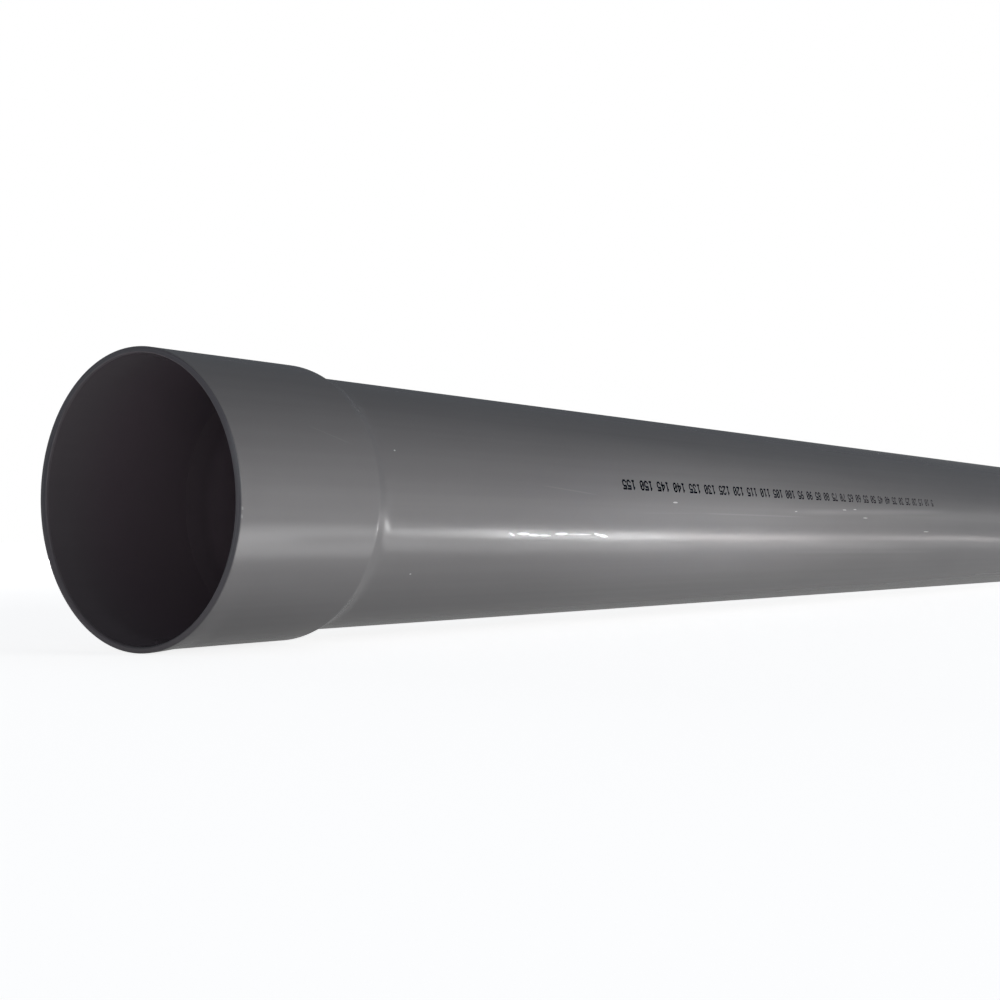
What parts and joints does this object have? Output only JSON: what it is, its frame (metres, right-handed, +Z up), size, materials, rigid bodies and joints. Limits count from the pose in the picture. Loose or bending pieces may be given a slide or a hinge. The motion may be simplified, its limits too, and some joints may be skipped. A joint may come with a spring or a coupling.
{
  "type": "conduit pipe",
  "caption": "Length of rigid grey plastic electrical conduit, with a bell socket at one end and a bevelled plain end at the other.",
  "frame": {"origin": "centre of the bell's mouth, on the pipe's axis", "axes": "+X along the pipe's axis, from the mouth of the bell to the plain end; +Z up, as the pipe lies on a floor"},
  "size_m": [3, 0.1216, 0.122],
  "materials": {
    "grey_pvc": "grey extruded PVC with a soft shine, fine draw lines and light handling scratches"
  },
  "bodies": {
    "root": {"conduit_pipe": "grey_pvc"}
  },
  "joints": []
}
